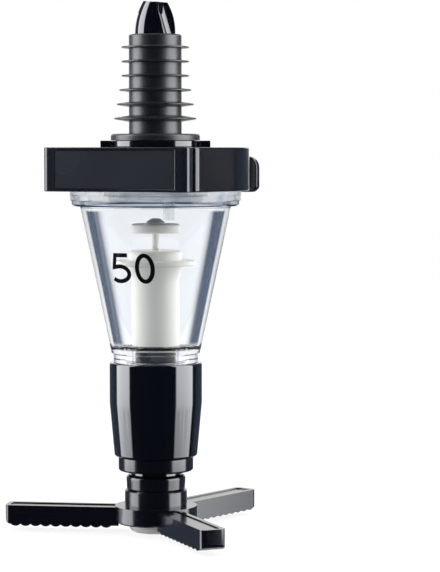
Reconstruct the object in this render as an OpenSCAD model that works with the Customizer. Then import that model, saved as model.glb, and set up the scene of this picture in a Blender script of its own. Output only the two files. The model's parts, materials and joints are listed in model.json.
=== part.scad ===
// Wall-mounted spirit measure: a ribbed bottle stopper, a clear chamber that holds one
// measure, and a sprung plunger whose three press arms are lifted by the glass.
// Millimetres. The origin is on the pour axis, level with the face that the bottle's lip
// rests on. +Z is up, -Y is the front with the label, +X is the right-hand side.

/* [Stopper] */
// Height of the stopper above the lip face
stopper_h = 33; // [32:0.1:44]
// Radius of the stopper's body
stopper_r = 8.8; // [8.4:0.1:10]
// Radius of the lowest and widest rib
wide_rib_r = 13.75; // [12.5:0.05:14.5]
// Radius of the narrow upper ribs
narrow_rib_r = 11.3; // [10.5:0.05:12]
// How much each rib is narrower than the one below it
rib_step = 0.85; // [0.5:0.05:1.2]
// Height of the lowest rib above the lip face
first_rib = 5.05; // [4.5:0.05:6]
// Distance from one rib to the next
rib_pitch = 4.74; // [4.2:0.01:5]
// Number of ribs
rib_count = 6; // [3:1:6]
// Radius of the flange under the bottle's lip
lip_flange_r = 14.9; // [14:0.1:16]
// Thickness of that flange
lip_flange_h = 2.1; // [1.6:0.1:3]

/* [Spigot] */
// Height of the spike above the stopper
spike_h = 11.1; // [9:0.1:16]
// Radius of the spigot's tube
spigot_r = 6.85; // [6:0.05:7.2]
// Radius of the spike at its tip
spike_tip_r = 3.9; // [3.6:0.1:4.6]
// Radius of the passage through the spigot
spigot_bore_r = 4.6; // [3.6:0.1:5]
// Radius of the glossy disc on top of the cover
disc_r = 15.15; // [14.5:0.05:17]
// Thickness of that disc
disc_h = 2.4; // [1.8:0.1:3.5]
// Distance from the axis to the end of each side ear
ear_reach = 18.3; // [17.5:0.1:22]
// Direction of the ears, in degrees
ear_angle = 25; // [-90:5:90]
// Width of an ear from front to back
ear_w = 6; // [4:0.5:16]
// Radius of the threaded stem below the disc
spigot_stem_r = 8; // [7:0.1:9]

/* [Cover] */
// Height of the cover
cover_h = 14.4; // [13.5:0.1:18]
// Thickness of the cover's roof
roof_t = 2.2; // [1.5:0.1:3]
// Thickness of the cover's round wall
cover_wall = 3.1; // [2.4:0.1:3.2]
// How much the front is narrower than the round body, on each side
front_taper = 4.2; // [1.5:0.1:5]
// How far the flat front lies behind the foremost point of the round body
front_setback = 3.8; // [2:0.1:4.5]
// Radius of the front corners
front_corner_r = 3; // [1.5:0.1:5]
// Half of the width of the rear rail
rail_half_w = 23.5; // [16:0.1:26]
// Thickness of the rear rail
rail_t = 2.8; // [2:0.1:4]
// Gap between the round body and the rail's inner face
rail_gap = 0.4; // [0.3:0.1:2]
// Half of the width of the neck that carries the rail
rail_neck_half_w = 13; // [8:0.5:15]
// Height of the rear rail
rail_h = 12.4; // [9:0.1:13]
// Radius of the rail's upper corners
rail_corner_r = 4; // [2:0.1:5]

/* [Label] */
// How far the label holder stays inside the front corners
holder_inset = 1.2; // [0.5:0.1:3]
// Thickness of the label holder
holder_t = 4.1; // [3:0.1:6]
// Border at each side of the label
label_side = 4.7; // [3:0.1:8]
// Border above and below the label
label_border = 1; // [0.6:0.1:2]
// Thickness of the blank label
label_t = 0.5; // [0.4:0.1:1.2]

/* [Chamber] */
// Height of the knurled band
knurl_h = 3.4; // [2.5:0.1:5]
// How far the knurl's ridges stand out
knurl_depth = 0.3; // [0.15:0.05:0.5]
// Number of ridges in the knurl
knurl_count = 110; // [60:1:120]
// Height of the smooth band below the knurl
ring_band_h = 1.7; // [1:0.1:2.5]
// Radius of the chamber at its top
chamber_top_r = 25.3; // [23:0.1:29]
// Radius of the chamber at its foot
chamber_foot_r = 14.9; // [14.6:0.1:16.5]
// Height of the cone from the ring down to the foot
cone_h = 49.5; // [44:0.1:58]
// Level wall thickness of the cone
chamber_wall = 2.9; // [1.8:0.1:3.2]
// Thickness of the floor at the foot
floor_t = 2.1; // [1.6:0.1:3]
// How much the neck above the sleeve is narrower than the foot
neck_step = 0.7; // [0.3:0.1:1.1]
// Height of the neck that shows above the sleeve
chamber_neck_h = 2.9; // [2:0.1:5]

/* [Sleeve] */
// Radius of the sleeve's straight upper part
sleeve_r = 15.6; // [15.3:0.1:17]
// Height of the straight part
sleeve_straight_h = 13.4; // [9:0.1:16]
// Height of the tapered part
sleeve_taper_h = 18.2; // [18:0.1:24]
// Radius of the sleeve at its lower end
sleeve_end_r = 14; // [13.2:0.05:15]
// Radius of the guide collar below the sleeve
collar_r = 12.6; // [12.1:0.05:13]
// Height of the collar that shows
collar_h = 5; // [4.5:0.1:7]

/* [Plunger] */
// How far the press arms lift
lift = 9; // [6:0.1:9.5]
// Radius of the white spindle barrel
barrel_r = 8; // [7.2:0.05:9]
// How far the barrel's head stands out under the cap
barrel_head_step = 0.5; // [0.4:0.1:1.5]
// Height of the barrel's head
barrel_head_h = 3.7; // [2:0.1:5]
// Height of the spindle barrel
barrel_h = 27; // [24:0.1:30]
// Radius of the spindle's lower shank
shank_r = 6.9; // [6.4:0.05:7]
// Radius of the spindle cap
cap_r = 8.8; // [7:0.1:9]
// Height of the spindle cap above its flange
cap_h = 3.3; // [2.5:0.1:4]
// Radius of the cap's flange
cap_flange_r = 13.5; // [11:0.1:14]
// Thickness of the cap's flange
cap_flange_h = 1.7; // [1.2:0.1:2.2]
// Radius of the nozzle tube
tube_r = 8.2; // [8:0.05:8.5]
// Radius of the pour passage
pour_r = 4.9; // [4.5:0.1:5.5]
// Gap between the collar and the neck ring at rest
neck_gap = 1.4; // [1:0.1:2.5]
// Radius of the neck ring
neck_ring_r = 10; // [9:0.05:10.2]
// Height of the neck ring
neck_ring_h = 4.95; // [3.5:0.05:6]
// Radius of the pale nozzle tip
tip_r = 9; // [6.5:0.1:9.4]
// How far the tip stands below the hub
tip_drop = 3.2; // [1.5:0.1:4]

/* [Press arms] */
// Radius of the step above the hub
step_r = 10.5; // [9.9:0.05:10.6]
// Height of the step
step_h = 5.55; // [5:0.05:7]
// Radius of the hub
hub_r = 13.8; // [12.5:0.1:15]
// Height of the hub
hub_h = 5.65; // [5:0.05:7]
// Distance from the axis to the end of an arm
arm_reach = 51.2; // [44:0.1:58]
// Width of an arm
arm_w = 8.6; // [7:0.1:10]
// How far the arms' tops lie below the hub's top
arm_sink = 0.45; // [0.2:0.05:1.2]
// Width of the rim round the channel in an arm's top
arm_rim = 1.5; // [1:0.1:2.5]
// Depth of that channel
arm_channel = 0.35; // [0.2:0.05:1.2]
// How far the grip crests stand below the hub
arm_drop = 1.8; // [0.8:0.05:2.4]
// Number of grip crests on an arm
crest_count = 10; // [6:1:10]
// Distance from one crest to the next
crest_pitch = 3.46; // [3:0.01:3.6]
// Height of a crest
crest_h = 0.7; // [0.4:0.05:0.9]
// Direction of the first arm, in degrees
arm_angle = 76; // [0:0.5:120]

/* [Inlet valve] */
// Radius of the valve disc
valve_r = 8.3; // [7.5:0.1:8.8]
// Thickness of the valve disc
valve_h = 3.1; // [2.4:0.1:4]
// Height of the grey nub on the disc
nub_h = 1.8; // [1.2:0.1:2.6]
// Radius of the grey nub
nub_r = 3.1; // [2.4:0.1:4]
// Radius of the stem
stem_r = 1.15; // [0.8:0.05:1.4]
// Length of stem that shows below the disc
stem_show = 5.8; // [4.5:0.1:8]
// Distance between the valve disc and its seat at rest
valve_travel = 7.1; // [5:0.1:7.5]
// Radius of the air tube
air_tube_r = 2; // [1.5:0.1:2.2]
// Gap between the valve disc and the air tube
air_tube_gap = 0.5; // [0.3:0.1:2]
// How far the air tube ends above the valve disc
air_tube_clear = 0.7; // [0.4:0.1:2]

/* [Springs] */
// Wire diameter of the return spring
return_wire = 1.2; // [0.8:0.1:1.3]
// Number of turns of the return spring
return_turns = 7; // [5:1:8]
// Wire diameter of the stem spring
stem_wire = 0.6; // [0.4:0.05:0.7]
// Number of turns of the stem spring
stem_turns = 8; // [5:1:10]

/* [Fits] */
// Radial clearance of pieces that slide or turn
running_fit = 0.05; // [0.02:0.01:0.1]
// Radial clearance of pieces that stay together
fixed_fit = 0.05; // [0.02:0.01:0.1]
// Clearance between faces that part when the plunger lifts
face_gap = 0.05; // [0.02:0.01:0.1]

/* [Hidden] */
$fn = 96;

// Colours
rubber_black = [0.10, 0.10, 0.11];
gloss_black = [0.06, 0.065, 0.075];
clear = [0.85, 0.90, 0.93, 0.35];
white = [0.93, 0.93, 0.92];
pale = [0.88, 0.88, 0.92];
steel = [0.70, 0.71, 0.73];
grey = [0.55, 0.56, 0.58];

// The chamber's flange sits in the clamp ring, whose thread fits the cover
flange_lip = 1.45;
thread_wall = 1.45;
flange_r = chamber_top_r + flange_lip;
thread_r = flange_r + 2 * fixed_fit + thread_wall;
ring_r = thread_r + knurl_depth;
ring_band_step = 0.2;
cover_r = thread_r + cover_wall;

// The cover's front, its label holder and its rail follow its round body
front_half_w = cover_r - front_taper;
front_y = cover_r - front_setback;
front_wall = 2;
least_bump = 0.1;
rail_y = cover_r + rail_gap;
holder_half_w = front_half_w - holder_inset;
label_half_w = holder_half_w - label_side;

// Levels from the lip face down to the clamp ring
disc_top = -lip_flange_h;
cover_top = disc_top - disc_h;
roof_low = cover_top - roof_t;
cover_low = cover_top - cover_h;
knurl_low = cover_low - knurl_h;
ring_low = knurl_low - ring_band_h;

// The clamp ring lifts the chamber's flange against a gasket under the inlet plate
chamber_flange_h = 2.5;
flange_under_knurl_top = 1.5;
gasket_t = 1;
plate_t = 3;
flange_low = cover_low - flange_under_knurl_top;
flange_top = flange_low + chamber_flange_h;
plate_low = flange_top + gasket_t;
plate_top = plate_low + plate_t;
ring_thread_short = 0.6;
ring_thread_top = plate_top - ring_thread_short;
gasket_w = 3.2;
rim_w = 2.4;
boss_r = 12;
spigot_seal_t = 0.8;
spigot_seal_play = 0.3;
stem_end = plate_top + spigot_seal_t;

// Levels of the chamber
cone_clear = 0.3;
cone_top = ring_low - cone_clear;
cone_low = ring_low - cone_h;
neck_low = cone_low - chamber_neck_h;
chamber_neck_r = chamber_foot_r - neck_step;
floor_top = cone_low + floor_t;
chamber_in_top_r = chamber_top_r - chamber_wall;
chamber_in_low_r = chamber_foot_r - chamber_wall
    + (chamber_top_r - chamber_foot_r) * floor_t / (cone_top - cone_low);
floor_corner_r = 2.2;
wall_slope = atan((chamber_top_r - chamber_foot_r) / (cone_top - cone_low));

// Levels of the sleeve, the guide collar and the return spring
sleeve_socket_h = 7.7;
sleeve_socket_wall = 2.25;
socket_r = sleeve_r - sleeve_socket_wall;
neck_end = neck_low - sleeve_socket_h;
sleeve_wall = 2.45;
spring_room_r = sleeve_end_r - sleeve_wall;
guide_h = 5;
guide_low = floor_top - guide_h;
sleeve_low = neck_low - sleeve_straight_h - sleeve_taper_h;
collar_low = sleeve_low - collar_h;
collar_play = 0.75;
collar_room_r = neck_ring_r + collar_play;
collar_web_h = 3.5;
neck_ring_top = collar_low - neck_gap;
collar_room_spare = 2;
collar_room_top = neck_ring_top + lift + collar_room_spare;
collar_top = collar_room_top + collar_web_h;

// Levels of the plunger
outlet_seal_h = 0.55;
barrel_low = floor_top + outlet_seal_h + face_gap;
barrel_top = barrel_low + barrel_h;
cap_low = barrel_top + cap_flange_h;
cap_top = cap_low + cap_h;
barrel_wall = 1.9;
barrel_room_r = barrel_r - barrel_wall;
barrel_floor_t = 2;
barrel_base_h = 4.3;
barrel_room_low = barrel_low + barrel_base_h;
cap_plug_h = 3;
port_r = 1.9;
port_z = guide_low + guide_h / 2;
tube_clear = 0.3;
tube_top = guide_low - lift - tube_clear;
shank_socket_h = 8;
shank_low = tube_top - shank_socket_h;
spring_seat_low = collar_top + face_gap;
spring_seat_h = 2;
spring_seat_play = 0.6;
spring_seat_r = spring_room_r - spring_seat_play;
neck_ring_low = neck_ring_top - neck_ring_h;
step_low = neck_ring_low - face_gap - step_h;
hub_low = step_low - hub_h;
tip_recess_h = 1.75;
tip_flange_h = 1.2;
tip_flange_r = 10.2;
tip_recess_play = 0.35;
tube_low = hub_low + tip_recess_h - face_gap;
tip_low = hub_low - tip_drop;

// Levels of the inlet valve
valve_low = cap_top + stem_show;
valve_top = valve_low + valve_h;
seat_z = valve_top + valve_travel + face_gap;
air_tube_y = valve_r + air_tube_gap + air_tube_r;
seat_rim = 0.3;
seat_clear = 0.15;
seat_r = min(valve_r + seat_rim, air_tube_y - air_tube_r - seat_clear);
inlet_bore_r = 5;
air_tube_low = valve_top + air_tube_clear;
clip_h = 1;
clip_r = 3;
clip_top = barrel_top - cap_plug_h - face_gap;
stem_tail = 3;
stem_low = clip_top - clip_h - stem_tail;

// How far a cut runs past the face that it opens
cut = 1;

// A straight ring between two levels
module ring(outer, inner, low, high) {
    translate([0, 0, low])
        linear_extrude(high - low)
            difference() {
                circle(outer);
                circle(inner);
            }
}

// A round bar between two levels
module bar(r, low, high) {
    translate([0, 0, low])
        cylinder(r = r, h = high - low);
}

// A body turned from a closed outline of [radius, level] points
module turned(outline) {
    rotate_extrude()
        polygon(outline);
}

// Points of an arc about a centre, from one angle to another
function arc(centre, r, from, to, steps = 8) =
    [for (i = [0 : steps])
        let (a = from + (to - from) * i / steps)
        centre + r * [cos(a), sin(a)]];

// Centre line of a coil that climbs from one level to another
coil_rings = 12;
function coil(r, low, high, turns) =
    [for (i = [0 : turns * coil_rings])
        let (a = 360 * i / coil_rings)
        [r * cos(a), r * sin(a), low + (high - low) * i / (turns * coil_rings)]];

// Least gap between one turn of a coil and the next
function coil_gap(path, wire) =
    min([for (i = [0 : len(path) - coil_rings - 1]) norm(path[i + coil_rings] - path[i])]) - wire;

// A six-sided wire along a coil's centre line
wire_sides = 6;
module wire_along(path, wire) {
    rings = len(path);
    points = [for (p = path)
        let (out = [p[0], p[1], 0] / norm([p[0], p[1]]))
        for (k = [0 : wire_sides - 1])
            p + wire / 2 * (cos(360 * k / wire_sides) * out + sin(360 * k / wire_sides) * [0, 0, 1])];
    sides = [for (i = [0 : rings - 2]) for (k = [0 : wire_sides - 1])
        let (a = i * wire_sides + k, b = i * wire_sides + (k + 1) % wire_sides)
        for (face = [[a, b, b + wire_sides], [a, b + wire_sides, a + wire_sides]]) face];
    low_end = [for (k = [1 : wire_sides - 2]) [0, k + 1, k]];
    last = (rings - 1) * wire_sides;
    high_end = [for (k = [1 : wire_sides - 2]) [last, last + k, last + k + 1]];
    polyhedron(points, concat(sides, low_end, high_end));
}

// One rib of the stopper, tapering from its root to a rounded edge
rib_edge_t = 0.6;
rib_root_t = 1;
rib_root_extra = 1.3;
rib_sink = 0.5;
module rib(level, r) {
    wide = (r - narrow_rib_r) / (wide_rib_r - narrow_rib_r);
    root_t = rib_root_t + rib_root_extra * wide;
    turned([
        [stopper_r - rib_sink, level - root_t / 2],
        [r - rib_edge_t / 2, level - rib_edge_t / 2],
        [r, level - rib_edge_t / 5],
        [r, level + rib_edge_t / 5],
        [r - rib_edge_t / 2, level + rib_edge_t / 2],
        [stopper_r - rib_sink, level + root_t / 2]
    ]);
}

module bottle_stopper() {
    edge = 0.9;
    top_edge = 0.4;
    color(rubber_black)
        difference() {
            union() {
                turned(concat(
                    [[0, disc_top], [lip_flange_r, disc_top]],
                    arc([lip_flange_r - edge, -edge], edge, 0, 90),
                    [[stopper_r, 0]],
                    [[stopper_r, stopper_h - top_edge], [stopper_r - top_edge, stopper_h], [0, stopper_h]]
                ));
                for (i = [0 : rib_count - 1])
                    rib(first_rib + i * rib_pitch, max(narrow_rib_r, wide_rib_r - i * rib_step));
            }
            bar(spigot_r + fixed_fit, disc_top - cut, stopper_h + cut);
        }
}

// The spike narrows in an arc that starts upright at the stopper
spike_in = spigot_r - spike_tip_r;
spike_arc_r = (spike_h * spike_h + spike_in * spike_in) / (2 * spike_in);
spike_wall = 1.3;
spike_bore_r = spike_tip_r - spike_wall;
spike_bore_h = 3;
spike_top = stopper_h + spike_h;
flute_angle = -15;
flute_r = 4.2;
flute_lean = 20;
flute_out = 2.6;
slot_w = 1.5;
slot_depth = 4;
slot_angle = 215;
tip_slope = 6;
tip_slope_turn = -24;
tip_trim = 0.2;

// Slanted scoop that lets the drink into the side of the spike
module flute() {
    rotate([0, 0, flute_angle])
        translate([spigot_r + flute_out, 0, stopper_h])
            rotate([0, -flute_lean, 0])
                cylinder(r = flute_r, h = 3 * spike_h);
}

module inlet_spigot() {
    spike_arc_end = asin(spike_h / spike_arc_r);
    edge = 0.3;
    ear_step = 0.2;
    color(gloss_black)
        difference() {
            union() {
                turned(concat(
                    [[0, stem_end], [spigot_stem_r, stem_end], [spigot_stem_r, cover_top]],
                    [[disc_r - edge, cover_top], [disc_r, cover_top + edge]],
                    [[disc_r, disc_top - edge], [disc_r - edge, disc_top], [spigot_r, disc_top]],
                    arc([spigot_r - spike_arc_r, stopper_h], spike_arc_r, 0, spike_arc_end, 10),
                    [[0, spike_top]]
                ));
                rotate([0, 0, ear_angle])
                    translate([-ear_reach, -ear_w / 2, cover_top])
                        cube([2 * ear_reach, ear_w, disc_h - ear_step]);
            }
            bar(spigot_bore_r, stem_end - cut, stopper_h - spike_bore_h);
            bar(spike_bore_r, stopper_h - spike_bore_h - cut, spike_top + cut);
            flute();
            rotate([0, 0, slot_angle])
                translate([0, -slot_w / 2, spike_top - slot_depth])
                    cube([spigot_r, slot_w, slot_depth + cut]);
            translate([0, 0, spike_top])
                rotate([0, tip_slope, tip_slope_turn])
                    translate([-spigot_r, -spigot_r, -tip_trim])
                        cube([2 * spigot_r, 2 * spigot_r, spike_h]);
        }
}

module spigot_seal() {
    color(rubber_black)
        ring(spigot_stem_r - spigot_seal_play, inlet_bore_r, plate_top, stem_end);
}

// Plan of the cover: a round body that is flat in front, straight sides and front corners
module cover_plan() {
    corner = [front_half_w - front_corner_r, -(front_y - front_corner_r)];
    side = atan2(corner[1], corner[0]) + acos((cover_r - front_corner_r) / norm(corner));
    flat_y = max(thread_r + front_wall, front_y + least_bump);
    bump_start = asin(-front_y / cover_r);
    bump_end = asin(-flat_y / cover_r);
    polygon(concat(
        arc([0, 0], cover_r, side, 180 - side, 72),
        arc([-corner[0], corner[1]], front_corner_r, 180 - side, 270),
        arc([0, 0], cover_r, 180 - bump_start, 180 - bump_end),
        arc([0, 0], cover_r, bump_end, bump_start),
        arc(corner, front_corner_r, -90, side)
    ));
}

// Outline of the rear rail: round above, chamfered below
module rail_outline() {
    chamfer = 1.5;
    round_x = rail_half_w - rail_corner_r;
    round_z = rail_h - rail_corner_r;
    polygon(concat(
        [[-rail_half_w, chamfer], [-rail_half_w + chamfer, 0]],
        [[rail_half_w - chamfer, 0], [rail_half_w, chamfer]],
        arc([round_x, round_z], rail_corner_r, 0, 90),
        arc([-round_x, round_z], rail_corner_r, 90, 180)
    ));
}

module top_cover() {
    rail_drop = 1;
    neck_inset = 1;
    rail_low = cover_low - rail_drop;
    neck_h = rail_low + rail_h - neck_inset - cover_low;
    color(gloss_black)
        difference() {
            union() {
                translate([0, 0, cover_low])
                    linear_extrude(cover_h)
                        cover_plan();
                translate([0, rail_y + rail_t, rail_low])
                    rotate([90, 0, 0])
                        linear_extrude(rail_t)
                            rail_outline();
                translate([-rail_neck_half_w, 0, cover_low])
                    cube([2 * rail_neck_half_w, rail_y + rail_t / 2, neck_h]);
            }
            bar(thread_r, cover_low - cut, roof_low);
            bar(spigot_stem_r + fixed_fit, roof_low - cut, cover_top + cut);
        }
}

holder_edge_r = 2;

// Plan of the label holder: round front edges, with its back fitted to the cover
module holder_plan() {
    front = front_y + holder_t;
    inner_w = holder_half_w - holder_edge_r;
    difference() {
        union() {
            translate([-inner_w, -front])
                square([2 * inner_w, holder_t]);
            translate([-holder_half_w, -front + holder_edge_r])
                square([2 * holder_half_w, holder_t - holder_edge_r]);
            for (s = [-1, 1])
                translate([s * inner_w, -front + holder_edge_r])
                    circle(holder_edge_r);
        }
        cover_plan();
    }
}

module label_holder() {
    front = front_y + holder_t;
    color(gloss_black)
        difference() {
            translate([0, 0, cover_low])
                linear_extrude(cover_h)
                    holder_plan();
            translate([-label_half_w, -front - cut, cover_low + label_border])
                cube([2 * label_half_w, cut + label_t, cover_h - 2 * label_border]);
        }
}

module blank_label() {
    play = 0.1;
    color(gloss_black)
        translate([-label_half_w + play, -front_y - holder_t, cover_low + label_border + play])
            cube([2 * (label_half_w - play), label_t, cover_h - 2 * (label_border + play)]);
}

module inlet_plate() {
    seat_edge = 0.8;
    color(gloss_black)
        difference() {
            turned([
                [0, seat_z], [seat_r - seat_edge, seat_z], [seat_r, seat_z + seat_edge], [seat_r, plate_low],
                [flange_r, plate_low], [flange_r, roof_low], [flange_r - rim_w, roof_low],
                [flange_r - rim_w, plate_top], [boss_r, plate_top], [boss_r, roof_low], [0, roof_low]
            ]);
            bar(spigot_stem_r + fixed_fit, plate_top, roof_low + cut);
            bar(inlet_bore_r, seat_z - cut, plate_top + cut);
            translate([0, air_tube_y, 0])
                bar(air_tube_r + fixed_fit, plate_low - cut, plate_low + plate_t / 2);
        }
}

module air_tube() {
    wall = 0.6;
    color(pale)
        translate([0, air_tube_y, 0])
            ring(air_tube_r, air_tube_r - wall, air_tube_low, plate_low + plate_t / 2);
}

module chamber_gasket() {
    color(rubber_black)
        ring(flange_r, flange_r - gasket_w, flange_top, plate_low);
}

// Plan of the knurled band: pointed ridges all the way round
module knurl_plan() {
    polygon([for (i = [0 : 2 * knurl_count - 1])
        let (a = 180 * i / knurl_count, r = ring_r - knurl_depth * (i % 2))
        r * [cos(a), sin(a)]]);
}

module clamp_ring() {
    band_r = thread_r - ring_band_step;
    edge = 0.5;
    color(clear)
        difference() {
            union() {
                translate([0, 0, knurl_low])
                    linear_extrude(knurl_h)
                        knurl_plan();
                turned([
                    [0, ring_low], [band_r - edge, ring_low], [band_r, ring_low + edge],
                    [band_r, cover_low], [thread_r - fixed_fit, cover_low],
                    [thread_r - fixed_fit, ring_thread_top], [0, ring_thread_top]
                ]);
            }
            bar(chamber_top_r + 3 * fixed_fit, ring_low - cut, flange_low + cut);
            bar(flange_r + 2 * fixed_fit, flange_low, ring_thread_top + cut);
        }
}

module measuring_chamber() {
    foot_edge = 0.3;
    lead_in = 0.6;
    plug_r = socket_r - fixed_fit;
    corner = [chamber_in_low_r - floor_corner_r, floor_top + floor_corner_r];
    color(clear)
        difference() {
            turned([
                [0, neck_end], [plug_r - lead_in, neck_end], [plug_r, neck_end + lead_in],
                [plug_r, neck_low], [chamber_neck_r, neck_low], [chamber_neck_r, cone_low],
                [chamber_foot_r - foot_edge, cone_low], [chamber_foot_r, cone_low + foot_edge],
                [chamber_top_r, cone_top], [chamber_top_r, flange_low], [flange_r, flange_low],
                [flange_r, flange_top], [0, flange_top]
            ]);
            turned(concat(
                [[0, floor_top]],
                arc(corner, floor_corner_r, -90, -wall_slope),
                [[chamber_in_top_r, cone_top], [chamber_in_top_r, flange_top + cut], [0, flange_top + cut]]
            ));
            bar(shank_r + running_fit, guide_low - cut, floor_top + cut);
            bar(spring_room_r, neck_end - cut, guide_low);
        }
}

module outlet_seal() {
    color(pale)
        ring(barrel_r, shank_r + 4 * running_fit, floor_top, floor_top + outlet_seal_h);
}

module lower_sleeve() {
    edge = 0.35;
    taper_top = neck_low - sleeve_straight_h;
    color(gloss_black)
        difference() {
            turned([
                [0, sleeve_low], [sleeve_end_r - edge, sleeve_low], [sleeve_end_r, sleeve_low + edge],
                [sleeve_r, taper_top], [sleeve_r, neck_low - edge], [sleeve_r - edge, neck_low], [0, neck_low]
            ]);
            bar(socket_r, neck_end, neck_low + cut);
            bar(spring_room_r, sleeve_low - cut, neck_end + cut);
        }
}

module guide_collar() {
    edge = 0.7;
    color(gloss_black)
        difference() {
            turned(concat(
                [[0, collar_low]],
                arc([collar_r - edge, collar_low + edge], edge, -90, 0),
                [[collar_r, sleeve_low], [spring_room_r - fixed_fit, sleeve_low]],
                [[spring_room_r - fixed_fit, collar_top], [0, collar_top]]
            ));
            bar(collar_room_r, collar_low - cut, collar_room_top);
            bar(tube_r + running_fit, collar_room_top - cut, collar_top + cut);
        }
}

module return_spring() {
    coil_r = (tube_r + spring_room_r) / 2;
    low = spring_seat_low + spring_seat_h + return_wire / 2 + face_gap;
    path = coil(coil_r, low, guide_low - return_wire / 2 - face_gap, return_turns);
    echo(return_spring_gap = coil_gap(path, return_wire));
    color(steel)
        wire_along(path, return_wire);
}

module spindle_barrel() {
    color(white)
        difference() {
            union() {
                bar(barrel_r, barrel_low, barrel_top);
                bar(barrel_r + barrel_head_step, barrel_top - barrel_head_h, barrel_top);
                bar(shank_r, shank_low, barrel_low + cut);
            }
            bar(barrel_room_r, barrel_room_low, barrel_top + cut);
            bar(pour_r, shank_low - cut, barrel_room_low - barrel_floor_t);
            for (a = [0, 90])
                translate([0, 0, port_z])
                    rotate([90, 0, a])
                        cylinder(r = port_r, h = 3 * shank_r, center = true);
        }
}

module spindle_cap() {
    edge = 0.6;
    color(white)
        difference() {
            turned([
                [0, barrel_top - cap_plug_h], [barrel_room_r - fixed_fit, barrel_top - cap_plug_h],
                [barrel_room_r - fixed_fit, barrel_top], [cap_flange_r, barrel_top], [cap_flange_r, cap_low],
                [cap_r, cap_low], [cap_r, cap_top - edge], [cap_r - edge, cap_top], [0, cap_top]
            ]);
            bar(stem_r + running_fit, barrel_top - cap_plug_h - cut, cap_top + cut);
        }
}

module stem_spring() {
    coil_clear = 0.7;
    coil_r = stem_r + stem_wire + coil_clear;
    high = clip_top - clip_h - stem_wire / 2 - face_gap;
    path = coil(coil_r, barrel_room_low + stem_wire / 2 + face_gap, high, stem_turns);
    echo(stem_spring_gap = coil_gap(path, stem_wire));
    color(steel)
        wire_along(path, stem_wire);
}

module valve_disc() {
    edge = 0.5;
    color(white)
        difference() {
            turned([
                [0, valve_low], [valve_r - edge, valve_low], [valve_r, valve_low + edge],
                [valve_r, valve_top - edge], [valve_r - edge, valve_top], [0, valve_top]
            ]);
            bar(stem_r + fixed_fit, valve_low - cut, valve_top + cut);
        }
}

module valve_stem() {
    color(pale)
        bar(stem_r, stem_low, valve_top + nub_h / 2);
}

module valve_nub() {
    nub_tip_r = 1.4;
    color(grey)
        difference() {
            turned([
                [0, valve_top], [nub_r, valve_top], [nub_r, valve_top + nub_h / 3],
                [nub_tip_r, valve_top + nub_h], [0, valve_top + nub_h]
            ]);
            bar(stem_r + fixed_fit, valve_top - cut, valve_top + nub_h / 2);
        }
}

module stem_clip() {
    color(steel)
        ring(clip_r, stem_r + fixed_fit, clip_top - clip_h, clip_top);
}

module nozzle_tube() {
    color(gloss_black)
        difference() {
            union() {
                bar(tube_r, tube_low, tube_top);
                bar(spring_seat_r, spring_seat_low, spring_seat_low + spring_seat_h);
            }
            bar(shank_r + fixed_fit, shank_low, tube_top + cut);
            bar(pour_r, tube_low - cut, shank_low + cut);
        }
}

module neck_ring() {
    edge = 0.7;
    taper = 0.2;
    foot_r = neck_ring_r - taper;
    color(gloss_black)
        difference() {
            turned([
                [0, neck_ring_low], [foot_r, neck_ring_low], [neck_ring_r, neck_ring_top - edge],
                [neck_ring_r - edge, neck_ring_top], [0, neck_ring_top]
            ]);
            bar(tube_r + fixed_fit, neck_ring_low - cut, neck_ring_top + cut);
        }
}

module nozzle_tip() {
    wall = 1.4;
    mouth_r = pour_r - wall;
    round_r = 2.1;
    tip_flange_low = tube_low - tip_flange_h;
    plug_h = 5;
    plug_r = pour_r - fixed_fit;
    color(pale)
        difference() {
            turned(concat(
                [[0, tip_low]],
                arc([tip_r - round_r, tip_low + round_r], round_r, -90, 0),
                [[tip_r, tip_flange_low], [tip_flange_r, tip_flange_low], [tip_flange_r, tube_low]],
                [[plug_r, tube_low], [plug_r, tube_low + plug_h], [0, tube_low + plug_h]]
            ));
            bar(mouth_r, tip_low - cut, tube_low + plug_h + cut);
        }
}

// Side of one arm, along X from the axis, round at its lower end, with a row of round crests below
module arm_side() {
    top = step_low - arm_sink;
    crest_low = hub_low - arm_drop;
    valley = crest_low + crest_h;
    crest_r = (crest_pitch * crest_pitch / 4 + crest_h * crest_h) / (2 * crest_h);
    end_plain = 3.7;
    end_round = 1.8;
    last_crest = arm_reach - end_plain;
    polygon(concat(
        [[0, top], [0, valley]],
        arc([arm_reach - end_round, valley + end_round], end_round, -90, 0),
        [[arm_reach, top]]
    ));
    for (i = [0 : crest_count - 1])
        translate([last_crest - i * crest_pitch, crest_low + crest_r])
            circle(crest_r);
}

// Plan of one arm or its channel, along X from the axis, with rounded end corners
arm_corner_r = 1.8;
module arm_plan(inset = 0) {
    corner_r = max(arm_corner_r - inset, arm_corner_r / 2);
    end_x = arm_reach - inset - corner_r;
    half_w = arm_w / 2 - inset;
    polygon(concat(
        [[0, -half_w]],
        arc([end_x, -half_w + corner_r], corner_r, -90, 0),
        arc([end_x, half_w - corner_r], corner_r, 0, 90),
        [[0, half_w]]
    ));
}

module arm() {
    difference() {
        intersection() {
            rotate([90, 0, 0])
                translate([0, 0, -arm_w])
                    linear_extrude(2 * arm_w)
                        arm_side();
            translate([0, 0, tip_low])
                linear_extrude(neck_ring_top - tip_low)
                    arm_plan();
        }
        translate([0, 0, step_low - arm_sink - arm_channel])
            linear_extrude(arm_channel + cut)
                arm_plan(arm_rim);
    }
}

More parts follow.
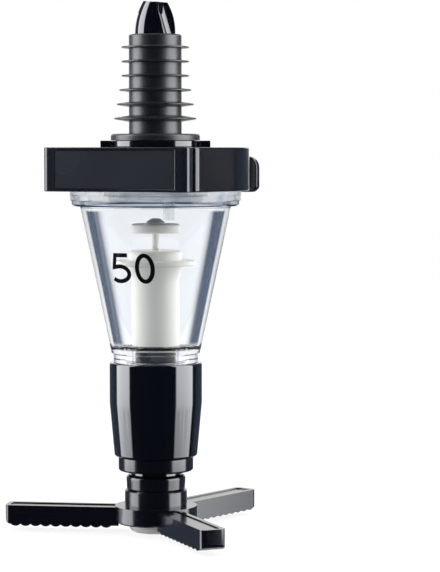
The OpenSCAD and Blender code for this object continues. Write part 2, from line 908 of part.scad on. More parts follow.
module press_spider() {
    step_top = step_low + step_h;
    recess_top = hub_low + tip_recess_h;
    recess_r = tip_flange_r + tip_recess_play;
    edge = 0.5;
    step_edge = 0.4;
    arm_root = 1;
    color(gloss_black)
        difference() {
            union() {
                turned([
                    [0, hub_low], [hub_r - edge, hub_low], [hub_r, hub_low + edge], [hub_r, step_low],
                    [step_r, step_low], [step_r, step_top - step_edge], [step_r - step_edge, step_top],
                    [0, step_top]
                ]);
                for (i = [0 : 2])
                    rotate([0, 0, arm_angle + 120 * i])
                        difference() {
                            arm();
                            bar(hub_r - arm_root, tip_low - cut, hub_low);
                        }
            }
            bar(tube_r + running_fit, hub_low - cut, step_top + cut);
            bar(recess_r, tip_low - cut, recess_top);
        }
}

bottle_stopper();
inlet_spigot();
spigot_seal();
top_cover();
label_holder();
blank_label();
inlet_plate();
air_tube();
chamber_gasket();
clamp_ring();
measuring_chamber();
outlet_seal();
lower_sleeve();
guide_collar();
return_spring();
spindle_barrel();
spindle_cap();
stem_spring();
valve_disc();
valve_stem();
valve_nub();
stem_clip();
nozzle_tube();
neck_ring();
nozzle_tip();
press_spider();
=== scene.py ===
"""Looks of the spirit measure: its finishes, fine pieces, studio light and camera."""
import json
import math

import bmesh
import bpy
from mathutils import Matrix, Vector


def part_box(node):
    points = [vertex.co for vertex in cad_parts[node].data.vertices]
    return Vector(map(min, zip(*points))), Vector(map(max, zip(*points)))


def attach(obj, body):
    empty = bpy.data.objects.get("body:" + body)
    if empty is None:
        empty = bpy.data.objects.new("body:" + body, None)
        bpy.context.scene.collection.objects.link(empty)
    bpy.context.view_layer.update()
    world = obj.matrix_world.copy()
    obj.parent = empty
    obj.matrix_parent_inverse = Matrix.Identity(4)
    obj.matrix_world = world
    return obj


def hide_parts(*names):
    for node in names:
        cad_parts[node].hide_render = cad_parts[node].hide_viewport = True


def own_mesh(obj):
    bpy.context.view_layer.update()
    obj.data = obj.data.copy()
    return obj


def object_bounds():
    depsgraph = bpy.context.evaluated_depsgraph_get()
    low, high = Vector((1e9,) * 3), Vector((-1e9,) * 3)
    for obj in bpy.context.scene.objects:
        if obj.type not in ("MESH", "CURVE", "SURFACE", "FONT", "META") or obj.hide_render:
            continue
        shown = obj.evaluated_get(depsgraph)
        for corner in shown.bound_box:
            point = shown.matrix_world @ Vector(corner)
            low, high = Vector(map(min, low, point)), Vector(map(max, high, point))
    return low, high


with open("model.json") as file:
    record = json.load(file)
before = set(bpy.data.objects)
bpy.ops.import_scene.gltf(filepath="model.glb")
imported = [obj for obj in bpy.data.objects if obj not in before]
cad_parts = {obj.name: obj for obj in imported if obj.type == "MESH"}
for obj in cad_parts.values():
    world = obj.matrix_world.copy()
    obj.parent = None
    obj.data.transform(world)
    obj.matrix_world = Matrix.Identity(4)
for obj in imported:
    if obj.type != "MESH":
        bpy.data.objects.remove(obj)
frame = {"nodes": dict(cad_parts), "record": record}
cad_low, cad_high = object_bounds()
MM = 0.001

# Camera, as the photograph was taken
VIEW_AZIMUTH = math.radians(25)
VIEW_DISTANCE = 759 * MM
EYE_HEIGHT = -3.8 * MM
AIM_HEIGHT = -51 * MM
AIM_RIGHT = 21.6 * MM
SENSOR = 36
LENS = 142.6


def make_camera():
    to_camera = Vector((math.sin(VIEW_AZIMUTH), -math.cos(VIEW_AZIMUTH), 0))
    to_right = Vector((math.cos(VIEW_AZIMUTH), math.sin(VIEW_AZIMUTH), 0))
    data = bpy.data.cameras.new("camera")
    data.sensor_width = SENSOR
    data.lens = LENS
    camera = bpy.data.objects.new("camera", data)
    bpy.context.scene.collection.objects.link(camera)
    eye = to_camera * VIEW_DISTANCE + Vector((0, 0, EYE_HEIGHT))
    aim = to_right * AIM_RIGHT + Vector((0, 0, AIM_HEIGHT))
    camera.location = eye
    camera.rotation_mode = "QUATERNION"
    camera.rotation_quaternion = (aim - eye).to_track_quat("-Z", "Y")
    bpy.context.scene.camera = camera


# Shader nodes

def node(tree, kind, inputs=None, **settings):
    """A shader node with its settings, and its inputs set to values or linked to sockets."""
    made = tree.nodes.new(kind)
    for name, value in settings.items():
        setattr(made, name, value)
    for key, value in (inputs or {}).items():
        if isinstance(value, bpy.types.NodeSocket):
            tree.links.new(value, made.inputs[key])
        else:
            made.inputs[key].default_value = value
    return made


def maths(tree, operation, a, b=0.0):
    return node(tree, "ShaderNodeMath", {0: a, 1: b}, operation=operation).outputs[0]


def ramp(tree, value, low, high, start=0.0, end=1.0):
    """A smooth step from start to end as value goes from low to high."""
    made = node(tree, "ShaderNodeMapRange", {0: value, 1: low, 2: high, 3: start, 4: end},
                interpolation_type="SMOOTHSTEP")
    return made.outputs[0]


def mix(tree, factor, a, b):
    """A colour between a and b."""
    made = node(tree, "ShaderNodeMix", {"Factor": factor, 6: a, 7: b}, data_type="RGBA")
    return made.outputs[2]


def rgb(red, green, blue):
    return (red, green, blue, 1.0)


# Studio light: angles around the object, from the camera's side to the right, and heights above the level
SOFT_EDGE = math.radians(2.5)
LEFT_BOX = (math.radians(-113), math.radians(-69))
RIGHT_BOX = (math.radians(52), math.radians(104))
SIDE_LIGHT = (math.radians(68), math.radians(150))
REAR = (math.radians(112), math.radians(124))
BOX_FOOT = (math.radians(-28), math.radians(-4))
BOX_HEAD = (math.radians(50), math.radians(65))

# Half widths of the white backdrop as gloss and glass show it, and the height where its wide part starts
GLOSS_BACK = math.radians(30)
LOW_BACK = math.radians(15)
GLASS_BACK = math.radians(60)
BACK_FOOT = (math.radians(-1), math.radians(4))

GLOSS_DARK = rgb(0.008, 0.011, 0.02)
GLOSS_REAR = rgb(0.06, 0.075, 0.11)
GLASS_DARK = rgb(0.55, 0.62, 0.72)
FILL = rgb(0.3, 0.305, 0.315)
BOX = rgb(3.2, 3.3, 3.45)
BOX_NEAR = rgb(2.9, 3.0, 3.15)
BOX_IN_GLASS = rgb(1.0, 1.0, 1.0)
WHITE = rgb(1, 1, 1)
KEY = rgb(4.0, 4.0, 3.9)
FIRST_BOUNCE = 0.5


def band(tree, angle, low, high):
    """1 between two angles, with soft edges."""
    rise = ramp(tree, angle, low - SOFT_EDGE, low + SOFT_EDGE)
    fall = ramp(tree, angle, high - SOFT_EDGE, high + SOFT_EDGE, 1.0, 0.0)
    return maths(tree, "MULTIPLY", rise, fall)


def make_world():
    """A white backdrop, and two soft boxes at the sides of a dim studio."""
    world = bpy.data.worlds.new("studio")
    bpy.context.scene.world = world
    world.use_nodes = True
    world.cycles.sampling_method = "NONE"
    tree = world.node_tree
    tree.nodes.clear()
    direction = node(tree, "ShaderNodeTexCoord").outputs["Generated"]
    turned = node(tree, "ShaderNodeVectorRotate", {"Vector": direction, "Angle": -VIEW_AZIMUTH},
                  rotation_type="Z_AXIS").outputs[0]
    axes = node(tree, "ShaderNodeSeparateXYZ", {0: turned})
    around = maths(tree, "ARCTAN2", axes.outputs[0], maths(tree, "MULTIPLY", axes.outputs[1], -1.0))
    height = maths(tree, "ARCSINE", axes.outputs[2])
    sideways = maths(tree, "ABSOLUTE", around)
    away = maths(tree, "SUBTRACT", math.pi, sideways)
    path = node(tree, "ShaderNodeLightPath")

    def backdrop(half_width):
        return ramp(tree, away, half_width - SOFT_EDGE, half_width + SOFT_EDGE, 1.0, 0.0)

    foot = ramp(tree, height, *BOX_FOOT)
    head = ramp(tree, height, *BOX_HEAD, 1.0, 0.0)
    upright = maths(tree, "MULTIPLY", foot, head)
    pair = maths(tree, "ADD", band(tree, around, *LEFT_BOX), band(tree, around, *RIGHT_BOX))
    boxes = maths(tree, "MULTIPLY", pair, upright)
    graded = mix(tree, ramp(tree, around, *RIGHT_BOX), BOX_NEAR, BOX)
    box_light = mix(tree, ramp(tree, around, -SOFT_EDGE, SOFT_EDGE), BOX, graded)

    raised = maths(tree, "MULTIPLY", backdrop(GLOSS_BACK), ramp(tree, height, *BACK_FOOT))
    raised = maths(tree, "MAXIMUM", raised, backdrop(LOW_BACK))
    dim = mix(tree, ramp(tree, sideways, *REAR), GLOSS_DARK, GLOSS_REAR)
    in_gloss = mix(tree, boxes, mix(tree, raised, dim, WHITE), box_light)
    in_glass = mix(tree, boxes, mix(tree, backdrop(GLASS_BACK), GLASS_DARK, WHITE), BOX_IN_GLASS)
    sides = maths(tree, "MULTIPLY", band(tree, sideways, *SIDE_LIGHT), upright)
    on_matte = mix(tree, sides, FILL, KEY)

    seen = mix(tree, path.outputs["Is Transmission Ray"], in_gloss, in_glass)
    lighting = maths(tree, "GREATER_THAN", path.outputs["Diffuse Depth"], FIRST_BOUNCE)
    seen = mix(tree, lighting, seen, on_matte)
    seen = mix(tree, path.outputs["Is Camera Ray"], seen, WHITE)
    background = node(tree, "ShaderNodeBackground", {"Color": seen})
    output = node(tree, "ShaderNodeOutputWorld")
    tree.links.new(background.outputs[0], output.inputs[0])


FLOOR_RADIUS = 0.6
FLOOR_SIDES = 96
FLOOR_GAP = 0.2 * MM
FLOOR_PALE = rgb(0.85, 0.85, 0.85)
FLOOR_SHARE = 0.8
FLOOR_WHITE = 1.08


def make_floor():
    """A plain white floor that keeps a faint shadow."""
    level = cad_low.z - FLOOR_GAP
    turns = [2 * math.pi * i / FLOOR_SIDES for i in range(FLOOR_SIDES)]
    rim = [(FLOOR_RADIUS * math.cos(a), FLOOR_RADIUS * math.sin(a), level) for a in turns]
    mesh = bpy.data.meshes.new("floor")
    mesh.from_pydata(rim, [], [range(FLOOR_SIDES)])
    floor = bpy.data.objects.new("floor", mesh)
    bpy.context.scene.collection.objects.link(floor)
    material = bpy.data.materials.new("floor")
    material.use_nodes = True
    tree = material.node_tree
    tree.nodes.clear()
    path = node(tree, "ShaderNodeLightPath")
    matte = node(tree, "ShaderNodeBsdfDiffuse", {"Color": FLOOR_PALE})
    glow = node(tree, "ShaderNodeEmission", {"Color": WHITE, "Strength": FLOOR_WHITE})
    seen = maths(tree, "MAXIMUM", path.outputs["Is Camera Ray"], path.outputs["Is Transmission Ray"])
    share = maths(tree, "MULTIPLY", seen, FLOOR_SHARE)
    both = node(tree, "ShaderNodeMixShader", {0: share, 1: matte.outputs[0], 2: glow.outputs[0]})
    output = node(tree, "ShaderNodeOutputMaterial")
    tree.links.new(both.outputs[0], output.inputs[0])
    mesh.materials.append(material)
    floor.visible_glossy = False
    floor.visible_diffuse = False


# Shape of the clear chamber, in millimetres, as in the part's source
CONE_TOP = -24.3
CONE_LOW = -73.5
CONE_TOP_R = 25.3
CONE_FOOT_R = 14.9
FOOT_EDGE = 0.3
WALL = 2.9
FLOOR_TOP = -71.4
FLOOR_CORNER = 2.2
CONE_SLOPE = (CONE_TOP_R - CONE_FOOT_R) / (CONE_TOP - CONE_LOW)
CONE_IN_LOW_R = CONE_FOOT_R - WALL + CONE_SLOPE * (FLOOR_TOP - CONE_LOW)
FLANGE_R = 26.75
FLANGE_TOP = -17.9
FLANGE_LOW = -20.4
OUTLET_R = 6.95
STEP_R = 14.2
NECK_R = 13.3
NECK_BORE_R = 11.55
NECK_LOW = -76.4
NECK_END = -84.1
NECK_BEVEL = 0.6

# Shape of the clamp ring, in millimetres; its ridges are finer than in the part's source
RING_R = 28.1
RING_BORE_R = 25.45
RING_LOW = -24.0
RING_EDGE = 0.5
LEDGE_R = 26.85
LEDGE_TOP = -20.35
THREAD_R = 28.25
THREAD_TOP = -14.55
RIDGES = 240
KNURL_R = 28.58
KNURL_TOP = -18.9
KNURL_LOW = -22.3
KNURL_DEPTH = 0.35
KNURL_END = 0.2
KNURL_FOOT = 0.25
KNURL_GAP = 0.02


# Materials

def new_material(name):
    """A material's tree, its Principled shader and its coordinates in metres."""
    material = bpy.data.materials.new(name)
    material.use_nodes = True
    tree = material.node_tree
    shader = tree.nodes["Principled BSDF"]
    place = node(tree, "ShaderNodeTexCoord").outputs["Object"]
    return material, tree, shader, place


def noise(tree, place, size, detail=3.0):
    """Noise whose features are about size metres wide."""
    made = node(tree, "ShaderNodeTexNoise", {"Vector": place, "Scale": 1 / size, "Detail": detail})
    return made.outputs[0]


def bump(tree, shader, height, depth):
    made = node(tree, "ShaderNodeBump", {"Height": height, "Distance": depth, "Strength": 1.0})
    tree.links.new(made.outputs[0], shader.inputs["Normal"])


DRIFT_SIZE = 30 * MM
DRIFT_DETAIL = 1.0
DRIFT_SPAN = (0.2, 0.8)
COAT_IOR = 1.7


def moulded(name, colour, worn, roughness, shine, grain, depth, coat=0.0, coat_roughness=0.05):
    """Moulded plastic: a faint drift of colour and gloss, and a fine grain."""
    material, tree, shader, place = new_material(name)
    drift = noise(tree, place, DRIFT_SIZE, DRIFT_DETAIL)
    fine = noise(tree, place, grain)
    tree.links.new(mix(tree, ramp(tree, drift, *DRIFT_SPAN), colour, worn), shader.inputs["Base Color"])
    tree.links.new(ramp(tree, drift, *DRIFT_SPAN, *roughness), shader.inputs["Roughness"])
    shader.inputs["Specular IOR Level"].default_value = shine
    shader.inputs["Coat Weight"].default_value = coat
    shader.inputs["Coat IOR"].default_value = COAT_IOR
    shader.inputs["Coat Roughness"].default_value = coat_roughness
    bump(tree, shader, fine, depth)
    return material


PLASTIC_IOR = 1.49
CLEAR = rgb(0.955, 0.975, 1.0)
# Colour of the chamber's side bands: painted shade, a dark tint set by the wall's facing, standing in for
# the dark studio seen through the thick wall
PAINTED_BAND_SHADE = rgb(0.014, 0.022, 0.042)
BAND_BLEND = 0.5
BAND_RISE = (0.24, 0.37)
BAND_FALL = (0.57, 0.65)
BAND_LEAN = 0.04
BAND_FOOT = (-72.0 * MM, -69.0 * MM)
BAND_HEAD = (-25.8 * MM, -24.8 * MM)
SKIN = 0.6 * MM
CLEAR_HAZE = 12 * MM
CLEAR_HAZE_SPAN = (0.4, 0.8)
CLEAR_ROUGHNESS = (0.0, 0.02)


def clear_plastic(name):
    """Clear plastic, with blue-grey bands of painted shade towards its sides, where its thick wall shows the
    dark studio.
    """
    material, tree, shader, place = new_material(name)
    axes = node(tree, "ShaderNodeSeparateXYZ", {0: place})
    level = axes.outputs[2]
    facing = node(tree, "ShaderNodeLayerWeight", {"Blend": BAND_BLEND}).outputs["Facing"]
    lean = ramp(tree, level, CONE_LOW * MM, CONE_TOP * MM, 0.0, BAND_LEAN)
    facing = maths(tree, "SUBTRACT", facing, lean)
    fall = ramp(tree, facing, *BAND_FALL, 1.0, 0.0)
    edge = maths(tree, "MULTIPLY", ramp(tree, facing, *BAND_RISE), fall)
    flat = node(tree, "ShaderNodeCombineXYZ", {0: axes.outputs[0], 1: axes.outputs[1]}).outputs[0]
    out = node(tree, "ShaderNodeVectorMath", {0: flat}, operation="LENGTH").outputs["Value"]
    rise = maths(tree, "MULTIPLY", maths(tree, "SUBTRACT", level, CONE_LOW * MM), CONE_SLOPE)
    inset = maths(tree, "SUBTRACT", maths(tree, "ADD", rise, CONE_FOOT_R * MM), out)
    outside = maths(tree, "LESS_THAN", maths(tree, "ABSOLUTE", inset), SKIN)
    below = ramp(tree, level, *BAND_HEAD, 1.0, 0.0)
    height = maths(tree, "MULTIPLY", ramp(tree, level, *BAND_FOOT), below)
    share = maths(tree, "MULTIPLY", edge, maths(tree, "MULTIPLY", outside, height))
    # The side bands are painted shade, mixed into the base colour
    tree.links.new(mix(tree, share, CLEAR, PAINTED_BAND_SHADE), shader.inputs["Base Color"])
    shader.inputs["Transmission Weight"].default_value = 1.0
    shader.inputs["IOR"].default_value = PLASTIC_IOR
    haze = noise(tree, place, CLEAR_HAZE)
    tree.links.new(ramp(tree, haze, *CLEAR_HAZE_SPAN, *CLEAR_ROUGHNESS), shader.inputs["Roughness"])
    return material


FROST = (rgb(0.9, 0.92, 0.95), rgb(0.94, 0.96, 0.98))
FROST_SIZE = 6 * MM
FROST_SPAN = (0.35, 0.7)
FROST_ROUGHNESS = (0.06, 0.12)
FROST_ROUGH_SPAN = (0.3, 0.7)
RIDGE_CLEARNESS = 0.9
# Colour of the clear band below the ridges: painted shade, standing in for the dark parts seen through it
PLAIN_BAND_PAINTED_SHADE = rgb(0.5, 0.55, 0.63)


def frosted_plastic(name):
    """Clear plastic whose fine ridges scatter the light, above a clear band that is darkened with painted
    shade.
    """
    material, tree, shader, place = new_material(name)
    haze = noise(tree, place, FROST_SIZE)
    level = node(tree, "ShaderNodeSeparateXYZ", {0: place}).outputs[2]
    ridged = maths(tree, "GREATER_THAN", level, KNURL_LOW * MM)
    frost = mix(tree, ramp(tree, haze, *FROST_SPAN), *FROST)
    # Below the ridges the colour is painted shade; above them it is the frost's own pale colour
    tree.links.new(mix(tree, ridged, PLAIN_BAND_PAINTED_SHADE, frost), shader.inputs["Base Color"])
    rough = maths(tree, "MULTIPLY", ridged, ramp(tree, haze, *FROST_ROUGH_SPAN, *FROST_ROUGHNESS))
    tree.links.new(rough, shader.inputs["Roughness"])
    clearness = ramp(tree, ridged, 0.0, 1.0, 1.0, RIDGE_CLEARNESS)
    tree.links.new(clearness, shader.inputs["Transmission Weight"])
    shader.inputs["IOR"].default_value = PLASTIC_IOR
    return material


PALE_SIZE = 4 * MM
PALE_SPAN = (0.35, 0.75)
PALE_ROUGH_SPAN = (0.3, 0.7)


def translucent(name, colour, worn, share, roughness=(0.25, 0.4)):
    """Pale plastic that lets light through."""
    material, tree, shader, place = new_material(name)
    drift = noise(tree, place, PALE_SIZE)
    tree.links.new(mix(tree, ramp(tree, drift, *PALE_SPAN), colour, worn), shader.inputs["Base Color"])
    tree.links.new(ramp(tree, drift, *PALE_ROUGH_SPAN, *roughness), shader.inputs["Roughness"])
    shader.inputs["Transmission Weight"].default_value = share
    shader.inputs["IOR"].default_value = PLASTIC_IOR
    return material


BRIGHT = rgb(0.88, 0.87, 0.82)
BRIGHT_WORN = rgb(0.91, 0.91, 0.87)
BRIGHT_ROUGHNESS = (0.3, 0.4)
BRIGHT_GRAIN = 0.8 * MM
SHANK_BLACK = rgb(0.004, 0.006, 0.012)
SHANK_TOP = -72.0 * MM
SHANK_EDGE = 0.1 * MM
SHANK_DEPTH = 0.002 * MM


def two_tone(name):
    """White plastic above the chamber's floor, and black below it."""
    material, tree, shader, place = new_material(name)
    drift = noise(tree, place, DRIFT_SIZE, DRIFT_DETAIL)
    white = mix(tree, ramp(tree, drift, *DRIFT_SPAN), BRIGHT, BRIGHT_WORN)
    level = node(tree, "ShaderNodeSeparateXYZ", {0: place}).outputs[2]
    below = ramp(tree, level, SHANK_TOP - SHANK_EDGE, SHANK_TOP + SHANK_EDGE, 1.0, 0.0)
    tree.links.new(mix(tree, below, white, SHANK_BLACK), shader.inputs["Base Color"])
    tree.links.new(ramp(tree, drift, *DRIFT_SPAN, *BRIGHT_ROUGHNESS), shader.inputs["Roughness"])
    bump(tree, shader, noise(tree, place, BRIGHT_GRAIN), SHANK_DEPTH)
    return material


MOULDED = {
    "stopper_rubber": {
        "colour": rgb(0.013, 0.014, 0.019), "worn": rgb(0.018, 0.019, 0.025), "roughness": (0.38, 0.42),
        "shine": 1.0, "grain": 0.3 * MM, "depth": 0.002 * MM, "coat": 0.6, "coat_roughness": 0.34},
    "black_plastic": {
        "colour": rgb(0.003, 0.004, 0.007), "worn": rgb(0.004, 0.005, 0.009), "roughness": (0.07, 0.11),
        "shine": 1.0, "grain": 1.5 * MM, "depth": 0.001 * MM, "coat": 1.0},
    "satin_black": {
        "colour": rgb(0.004, 0.005, 0.009), "worn": rgb(0.005, 0.006, 0.011), "roughness": (0.16, 0.22),
        "shine": 1.0, "grain": 0.8 * MM, "depth": 0.002 * MM, "coat": 0.4},
    # A darker copy of the cover plastic, for the top cover: its darker colour is painted shade on the
    # cover's sides
    "cover_plastic_shaded": {
        "colour": rgb(0.004, 0.005, 0.008), "worn": rgb(0.005, 0.006, 0.01), "roughness": (0.16, 0.22),
        "shine": 0.6, "grain": 0.5 * MM, "depth": 0.001 * MM, "coat": 0.8},
    "cover_plastic": {
        "colour": rgb(0.013, 0.016, 0.024), "worn": rgb(0.016, 0.02, 0.029), "roughness": (0.18, 0.24),
        "shine": 0.6, "grain": 0.5 * MM, "depth": 0.001 * MM, "coat": 0.8},
    "label_plastic": {
        "colour": rgb(0.026, 0.031, 0.042), "worn": rgb(0.03, 0.036, 0.048), "roughness": (0.24, 0.3),
        "shine": 0.6, "grain": 0.3 * MM, "depth": 0.003 * MM},
    "white_plastic": {
        "colour": BRIGHT, "worn": BRIGHT_WORN, "roughness": BRIGHT_ROUGHNESS,
        "shine": 0.5, "grain": BRIGHT_GRAIN, "depth": 0.003 * MM},
    "grey_plastic": {
        "colour": rgb(0.4, 0.41, 0.42), "worn": rgb(0.48, 0.49, 0.5), "roughness": (0.25, 0.35),
        "shine": 0.5, "grain": 0.4 * MM, "depth": 0.004 * MM},
    "seal_rubber": {
        "colour": rgb(0.012, 0.012, 0.014), "worn": rgb(0.02, 0.02, 0.022), "roughness": (0.6, 0.75),
        "shine": 0.3, "grain": 0.2 * MM, "depth": 0.01 * MM},
    "spring_steel": {
        "colour": rgb(0.5, 0.51, 0.53), "worn": rgb(0.6, 0.61, 0.63), "roughness": (0.2, 0.35),
        "shine": 0.5, "grain": 0.3 * MM, "depth": 0.002 * MM},
    "ink": {
        "colour": rgb(0.004, 0.004, 0.005), "worn": rgb(0.006, 0.006, 0.007), "roughness": (0.75, 0.85),
        "shine": 0.1, "grain": 0.3 * MM, "depth": 0.001 * MM},
}
TRANSLUCENT = {
    "pale_plastic": {"colour": rgb(0.9, 0.9, 0.87), "worn": rgb(0.94, 0.94, 0.91), "share": 0.3},
    "clear_tube": {
        "colour": rgb(0.95, 0.96, 0.97), "worn": rgb(0.98, 0.985, 0.99), "share": 0.95,
        "roughness": (0.05, 0.12)},
    "pale_seal": {"colour": rgb(0.8, 0.81, 0.82), "worn": rgb(0.86, 0.87, 0.88), "share": 0.3},
}


def make_materials():
    made = {name: moulded(name, **looks) for name, looks in MOULDED.items()}
    made.update({name: translucent(name, **looks) for name, looks in TRANSLUCENT.items()})
    made["clear_plastic"] = clear_plastic("clear_plastic")
    made["frosted_plastic"] = frosted_plastic("frosted_plastic")
    made["two_tone"] = two_tone("two_tone")
    return made


# Pieces

RECORD = frame["record"]
BODY_OF = {name: body for body, names in RECORD["behaviour"]["bodies"].items() for name in names}
SLOT_OF = {part["node"]: part["material_slot"] for part in RECORD["subparts"]}
OWN_FINISH = {
    "clamp_ring": "frosted_plastic",
    "press_spider": "satin_black",
    "guide_collar": "satin_black",
    "neck_ring": "satin_black",
    # The top cover takes the darker copy of the cover plastic, as painted shade on its sides
    "top_cover": "cover_plastic_shaded",
    "spindle_barrel": "two_tone",
    "air_tube": "clear_tube",
}


def finish_of(name):
    return materials[OWN_FINISH.get(name, SLOT_OF[name])]


def add_piece(name, mesh, material, body):
    """A new piece that rides on a body."""
    mesh.materials.append(material)
    piece = bpy.data.objects.new(name, mesh)
    bpy.context.scene.collection.objects.link(piece)
    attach(piece, body)
    return piece


def stand_for(name, mesh):
    """A finer piece in the place of a node."""
    piece = add_piece(name + "_form", mesh, finish_of(name), BODY_OF[name])
    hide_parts(name)
    return piece


MERGE = 1e-6
FLAT_ANGLE = math.radians(0.5)
CURVE_ANGLE = math.radians(14)
SHARP_ANGLE = math.radians(32)
BROAD = 60 * MM * MM
MOST_ROUND = 20 * MM
EDGE_STEPS = 3
ROUND_PROFILE = 0.5


def round_edges(name):
    """A node's form with its flat faces flat, its curved ones smooth and its sharp edges rounded.

    The shortest edges of the form set how wide the rounding is: 0.25 to 0.6 mm on most pieces, and next to
    nothing on the press arms, the spigot and the barrel.
    """
    source = frame["nodes"][name].data
    form = bmesh.new()
    corners = [form.verts.new(vertex.co) for vertex in source.vertices]
    for face in source.polygons:
        form.faces.new([corners[i] for i in face.vertices])
    bmesh.ops.remove_doubles(form, verts=form.verts, dist=MERGE)
    bmesh.ops.dissolve_limit(form, angle_limit=FLAT_ANGLE, verts=form.verts, edges=form.edges)
    sharp = [edge for edge in form.edges if edge.is_manifold and edge.calc_face_angle() > SHARP_ANGLE]
    made = bmesh.ops.bevel(form, geom=sharp, offset=MOST_ROUND, segments=EDGE_STEPS,
                           profile=ROUND_PROFILE, affect="EDGES", clamp_overlap=True)
    rounds = set(made["faces"])
    curved = set()
    for edge in form.edges:
        sides = set(edge.link_faces)
        bend = edge.calc_face_angle(0.0)
        if not sides & rounds and FLAT_ANGLE < bend < CURVE_ANGLE:
            curved |= sides
        edge.smooth = len(sides & rounds) != 1 and bend < SHARP_ANGLE
    for face in form.faces:
        face.smooth = face in rounds or (face in curved and face.calc_area() < BROAD)
    mesh = bpy.data.meshes.new(name)
    form.to_mesh(mesh)
    form.free()
    stand_for(name, mesh)


HOLD = 0.004
ARC_STEPS = 4
ARC_SHARE = 0.45


def round_outline(points, radius):
    """A closed outline with arcs of a radius, or less where its sides are short, at its corners."""
    made = []
    for i, point in enumerate(points):
        here = Vector(point)
        back = Vector(points[i - 1]) - here
        ahead = Vector(points[(i + 1) % len(points)]) - here
        half = back.angle(ahead) / 2
        reach = min(radius / math.tan(half), ARC_SHARE * back.length, ARC_SHARE * ahead.length)
        start = here + back.normalized() * reach
        end = here + ahead.normalized() * reach
        made.append(start + back.normalized() * HOLD * back.length)
        for k in range(ARC_STEPS + 1):
            t = k / ARC_STEPS
            made.append((1 - t) ** 2 * start + 2 * t * (1 - t) * here + t ** 2 * end)
        made.append(end + ahead.normalized() * HOLD * ahead.length)
    return made


def turn(name, outline, sides, ridges=()):
    """A mesh turned about the axis from a closed outline, with ridges where its points are named."""
    points = []
    for i in range(sides):
        angle = 2 * math.pi * i / sides
        for k, (r, z) in enumerate(outline):
            out = r - KNURL_DEPTH * (i % 2) if k in ridges else r
            points.append((out * math.cos(angle) * MM, out * math.sin(angle) * MM, z * MM))
    count = len(outline)
    faces = []
    for i in range(sides):
        here, beside = i * count, (i + 1) % sides * count
        for k in range(count):
            after = (k + 1) % count
            faces.append((here + k, beside + k, beside + after, here + after))
    mesh = bpy.data.meshes.new(name)
    mesh.from_pydata(points, [], faces)
    for face in mesh.polygons:
        face.use_smooth = not ridges
    return mesh


CHAMBER_SIDES = 192
CHAMBER_ROUND = 0.25
CORNER_STEPS = 6


def make_chamber():
    """The clear chamber with its neck and plug, a little rounded at its edges."""
    neck = [(NECK_R - NECK_BEVEL, NECK_END), (NECK_R, NECK_END + NECK_BEVEL), (NECK_R, NECK_LOW)]
    step = [(STEP_R, NECK_LOW), (STEP_R, CONE_LOW)]
    cone = [(CONE_FOOT_R - FOOT_EDGE, CONE_LOW), (CONE_FOOT_R, CONE_LOW + FOOT_EDGE),
            (CONE_TOP_R, CONE_TOP), (CONE_TOP_R, FLANGE_LOW)]
    flange = [(FLANGE_R, FLANGE_LOW), (FLANGE_R, FLANGE_TOP)]
    inner = [(CONE_TOP_R - WALL, FLANGE_TOP), (CONE_TOP_R - WALL, CONE_TOP)]
    slope = math.atan(CONE_SLOPE)
    centre_r = CONE_IN_LOW_R - FLOOR_CORNER
    centre_z = FLOOR_TOP + FLOOR_CORNER
    for k in range(CORNER_STEPS + 1):
        angle = -slope - (math.pi / 2 - slope) * k / CORNER_STEPS
        inner.append((centre_r + FLOOR_CORNER * math.cos(angle), centre_z + FLOOR_CORNER * math.sin(angle)))
    outlet = [(OUTLET_R, FLOOR_TOP), (OUTLET_R, NECK_LOW)]
    bore = [(NECK_BORE_R, NECK_LOW), (NECK_BORE_R, NECK_END)]
    outline = round_outline(neck + step + cone + flange + inner + outlet + bore, CHAMBER_ROUND)
    piece = stand_for("measuring_chamber", turn("chamber", outline, CHAMBER_SIDES))
    piece.visible_diffuse = False


def make_clamp_ring():
    """The clamp ring with its fine ridges."""
    plain = [(RING_BORE_R, RING_LOW), (RING_R - RING_EDGE, RING_LOW), (RING_R, RING_LOW + RING_EDGE),
             (RING_R, KNURL_LOW)]
    ridged = [(KNURL_R - KNURL_END, KNURL_LOW + KNURL_GAP), (KNURL_R, KNURL_LOW + KNURL_FOOT),
              (KNURL_R, KNURL_TOP - KNURL_END), (KNURL_R - KNURL_END, KNURL_TOP - KNURL_GAP)]
    thread = [(THREAD_R, KNURL_TOP), (THREAD_R, THREAD_TOP), (LEDGE_R, THREAD_TOP), (LEDGE_R, LEDGE_TOP),
              (RING_BORE_R, LEDGE_TOP)]
    first = len(plain)
    mesh = turn("ring", plain + ridged + thread, 2 * RIDGES, range(first, first + len(ridged)))
    stand_for("clamp_ring", mesh)


WIRE_SIDES = 10
TURN_STEPS = 24


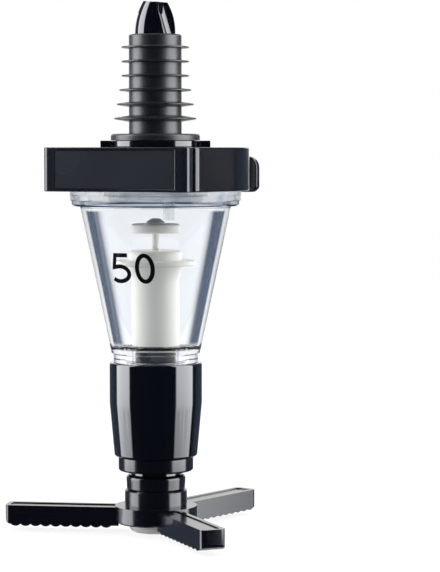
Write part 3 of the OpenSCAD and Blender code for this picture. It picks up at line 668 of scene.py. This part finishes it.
def make_spring(name, coil_r, wire, turns):
    """A spring of round wire, on a mesh of its own."""
    low, high = (corner.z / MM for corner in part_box(name))
    start = low + wire / 2
    climb = high - low - wire
    steps = turns * TURN_STEPS
    lean = math.atan(climb / turns / (2 * math.pi * coil_r))
    points = []
    for i in range(steps + 1):
        angle = 2 * math.pi * i / TURN_STEPS
        for k in range(WIRE_SIDES):
            side = 2 * math.pi * k / WIRE_SIDES
            out = coil_r + wire / 2 * math.cos(side)
            rise = wire / 2 * math.sin(side)
            along = -rise * math.sin(lean)
            points.append(((out * math.cos(angle) - along * math.sin(angle)) * MM,
                           (out * math.sin(angle) + along * math.cos(angle)) * MM,
                           (start + climb * i / steps + rise * math.cos(lean)) * MM))
    last = steps * WIRE_SIDES
    faces = [tuple(reversed(range(WIRE_SIDES))), tuple(range(last, last + WIRE_SIDES))]
    for i in range(steps):
        for k in range(WIRE_SIDES):
            a = i * WIRE_SIDES + k
            b = i * WIRE_SIDES + (k + 1) % WIRE_SIDES
            faces.append((a, b, b + WIRE_SIDES, a + WIRE_SIDES))
    mesh = bpy.data.meshes.new(name)
    mesh.from_pydata(points, [], faces)
    for face in mesh.polygons:
        face.use_smooth = True
    piece = stand_for(name, mesh)
    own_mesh(piece)


# The plain number on the chamber, in millimetres along its face; a figure is its left side and its width
NUMBER_AT = math.radians(4)
NUMBER_LOW = -49.0
NUMBER_H = 10.2
STROKE = 1.4
INK_T = 0.05
INK_LIFT = 0.02
FIVE = (-7.6, 6.9)
NOUGHT = (0.9, 6.6)
NOUGHT_STEPS = 40
MITRE_LIMIT = 0.4

# Places in the five, as shares of its width and of the number's height
BAR_RIGHT = 0.88
BAR_LEFT = 0.2
BEND_X = 0.1
BEND_Y = 0.53
BOWL_X = 0.42
BOWL_Y = 0.315
BOWL_HALF_W = 0.5
BOWL_START = math.radians(112)
BOWL_SWEEP = math.radians(250)
BOWL_STEPS = 24


def five_line(left, width):
    """Centre line of a plain five."""
    top = NUMBER_H - STROKE / 2
    bowl_x, bowl_y = left + BOWL_X * width, BOWL_Y * NUMBER_H
    bowl_w, bowl_h = BOWL_HALF_W * width, bowl_y - STROKE / 2
    line = [(left + BAR_RIGHT * width, top), (left + BAR_LEFT * width, top),
            (left + BEND_X * width, BEND_Y * NUMBER_H)]
    for k in range(BOWL_STEPS + 1):
        angle = BOWL_START - BOWL_SWEEP * k / BOWL_STEPS
        line.append((bowl_x + bowl_w * math.cos(angle), bowl_y + bowl_h * math.sin(angle)))
    return line, False


def nought_line(left, width):
    """Centre line of a plain nought."""
    line = []
    for k in range(NOUGHT_STEPS):
        angle = 2 * math.pi * k / NOUGHT_STEPS
        line.append((left + width / 2 + (width - STROKE) / 2 * math.cos(angle),
                     NUMBER_H / 2 + (NUMBER_H - STROKE) / 2 * math.sin(angle)))
    return line, True


def on_cone(s, h, lift):
    """A point on the chamber's face, s to the right of the number's middle and h above its foot."""
    z = NUMBER_LOW + h * math.cos(math.atan(CONE_SLOPE))
    r = CONE_FOOT_R + CONE_SLOPE * (z - CONE_LOW) + lift
    angle = NUMBER_AT + s / r
    return (r * math.sin(angle) * MM, -r * math.cos(angle) * MM, z * MM)


def make_number():
    """A plain number of printed ink on the chamber's face."""
    points = []
    faces = []
    for line, closed in (five_line(*FIVE), nought_line(*NOUGHT)):
        first = len(points)
        count = len(line)
        for i, point in enumerate(line):
            here = Vector(point)
            before = Vector(line[i - 1]) if closed or i > 0 else None
            after = Vector(line[(i + 1) % count]) if closed or i < count - 1 else None
            back = (here - before).normalized() if before is not None else (after - here).normalized()
            on = (after - here).normalized() if after is not None else back
            side = Vector((-(back + on).y, (back + on).x)).normalized()
            wide = STROKE / 2 / max(side.dot(Vector((-on.y, on.x))), MITRE_LIMIT)
            for s, h in (here + side * wide, here - side * wide):
                points.append(on_cone(s, h, INK_LIFT))
                points.append(on_cone(s, h, INK_LIFT + INK_T))
        spans = count if closed else count - 1
        for i in range(spans):
            a = first + 4 * i
            b = first + 4 * ((i + 1) % count)
            faces += [(a + 1, a + 3, b + 3, b + 1), (a, b, b + 2, a + 2),
                      (a, a + 1, b + 1, b), (a + 2, b + 2, b + 3, a + 3)]
        if not closed:
            last = first + 4 * (count - 1)
            faces += [(first, first + 2, first + 3, first + 1), (last, last + 1, last + 3, last + 2)]
    mesh = bpy.data.meshes.new("number")
    mesh.from_pydata(points, [], faces)
    form = bmesh.new()
    form.from_mesh(mesh)
    bmesh.ops.recalc_face_normals(form, faces=form.faces)
    form.to_mesh(mesh)
    form.free()
    piece = add_piece("number", mesh, materials["ink"], "housing")


ROUNDED = (
    "press_spider", "label_holder", "top_cover", "inlet_spigot", "lower_sleeve", "guide_collar", "neck_ring",
    "valve_disc", "spindle_cap", "spindle_barrel", "nozzle_tip", "valve_nub",
)

make_camera()
make_world()
make_floor()
materials = make_materials()
for name, piece in frame["nodes"].items():
    piece.data.materials.clear()
    piece.data.materials.append(finish_of(name))
make_chamber()
make_clamp_ring()
for name in ROUNDED:
    round_edges(name)
make_spring("return_spring", coil_r=9.875, wire=1.2, turns=7)
make_spring("stem_spring", coil_r=2.45, wire=0.6, turns=8)
make_number()

bpy.context.scene.view_settings.view_transform = "Standard"
